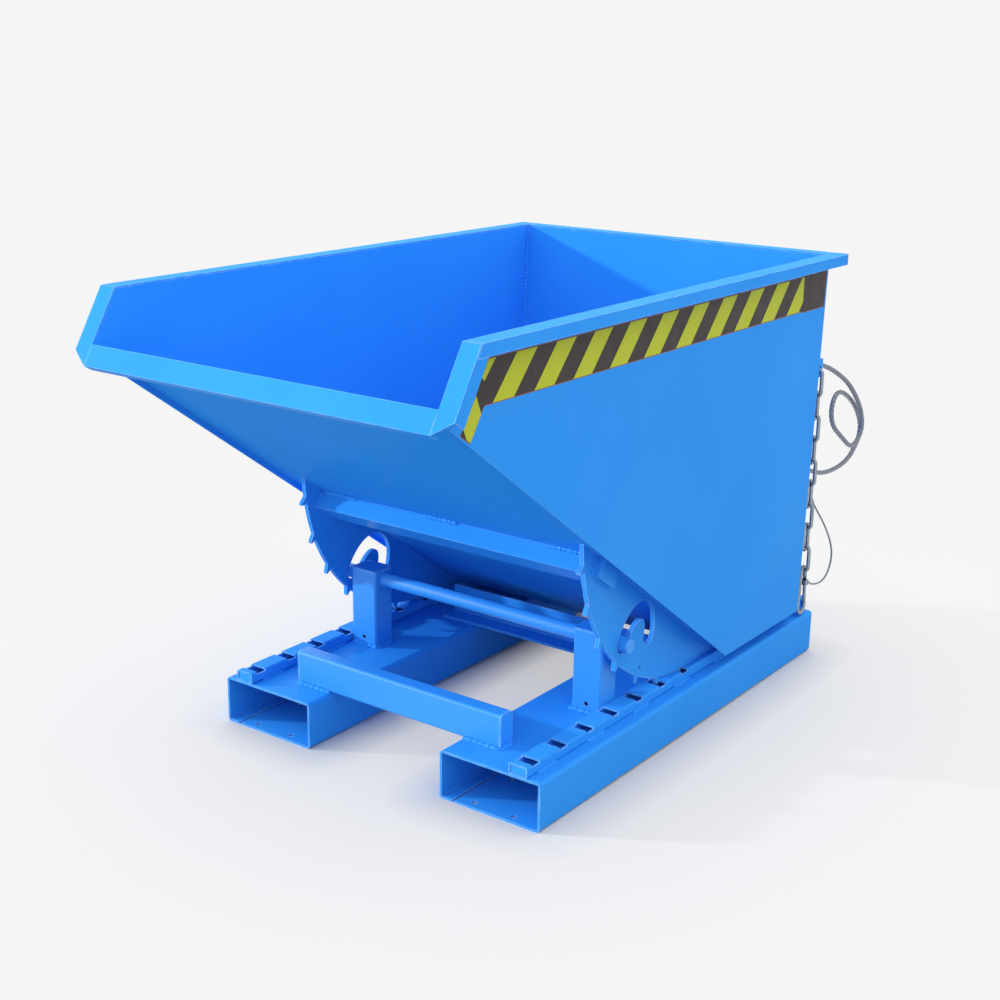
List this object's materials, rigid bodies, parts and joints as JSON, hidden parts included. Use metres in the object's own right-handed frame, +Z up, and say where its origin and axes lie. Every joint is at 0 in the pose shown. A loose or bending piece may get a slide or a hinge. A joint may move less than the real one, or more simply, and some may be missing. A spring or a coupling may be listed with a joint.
{
  "type": "tipping skip",
  "caption": "Forklift tipping skip: a wedge-shaped open tub on toothed rockers that rolls forward along slotted rails on a base with fork pockets, with a latch and a safety chain.",
  "frame": {"origin": "on the ground, under the middle of the skip's length and width, cords left out", "axes": "+X to the right side of the skip seen from behind it, +Y to the rear, +Z up; the pouring lip is at -Y"},
  "size_m": [0.77, 1.4796, 0.834],
  "materials": {
    "blue_paint": "gloss",
    "zinc_steel": "satin",
    "wire_rope": "satin"
  },
  "bodies": {
    "base": {"fork_pocket_left": "blue_paint", "fork_pocket_right": "blue_paint", "rail_left": "blue_paint", "rail_right": "blue_paint", "rail_end_caps": "blue_paint", "front_cross_tube": "blue_paint", "cross_tube_caps": "blue_paint", "cross_angle": "blue_paint", "rear_cross_bar": "blue_paint", "post_left": "blue_paint", "post_right": "blue_paint", "post_caps": "blue_paint", "tie_axle": "blue_paint", "latch_catch_lugs": "blue_paint", "latch_catch_pin": "zinc_steel", "chain_lug": "blue_paint"},
    "roll_carrier": {"roll_axis_plugs": "blue_paint"},
    "tub": {"side_wall_left": "blue_paint", "side_wall_right": "blue_paint", "tub_floor": "blue_paint", "rear_wall": "blue_paint", "rim_left": "blue_paint", "rim_right": "blue_paint", "rim_rear": "blue_paint", "front_edge_left": "blue_paint", "front_edge_right": "blue_paint", "pouring_lip": "blue_paint", "rocker_left": "blue_paint", "rocker_right": "blue_paint", "floor_stiffener": "blue_paint", "latch_bracket": "blue_paint", "latch_pivot_pin": "zinc_steel", "chain_tab": "blue_paint", "chain_top_link": "zinc_steel", "rope_ferrules": "zinc_steel", "release_rope": "wire_rope"},
    "latch": {"latch_lever": "blue_paint"},
    "chain": {"chain_links": "zinc_steel", "snap_hook": "zinc_steel", "snap_hook_pin": "zinc_steel", "lanyard_ferrules": "zinc_steel", "lanyard": "wire_rope"},
    "hook_gate": {"snap_hook_gate": "zinc_steel"}
  },
  "joints": [
    {"name": "roll_slide", "type": "slide", "parent": "base", "child": "roll_carrier", "axis": [0, -1, 0], "range_m": [0, 0.3236]},
    {"name": "tip", "type": "hinge", "parent": "roll_carrier", "child": "tub", "pos_m": [0, 0.15148, 0.4455], "axis": [1, 0, 0], "range_deg": [0, 55]},
    {"name": "latch_swing", "type": "hinge", "parent": "tub", "child": "latch", "pos_m": [0, 0.57907, 0.19], "axis": [1, 0, 0], "range_deg": [-15, 0]},
    {"name": "chain_swing", "type": "hinge", "parent": "tub", "child": "chain", "pos_m": [0.345, 0.59301, 0.56], "axis": [0, -1, 0], "range_deg": [0, 60]},
    {"name": "gate_open", "type": "hinge", "parent": "chain", "child": "hook_gate", "pos_m": [0.345, 0.60417, 0.1592], "axis": [-1, 0, 0], "range_deg": [0, 25], "stiffness_Nm_per_rad": 0.05, "springref_deg": -11.46}
  ],
  "couplings": [
    {"joint": "roll_slide", "follows": "tip", "m_per_rad": 0.337}
  ]
}
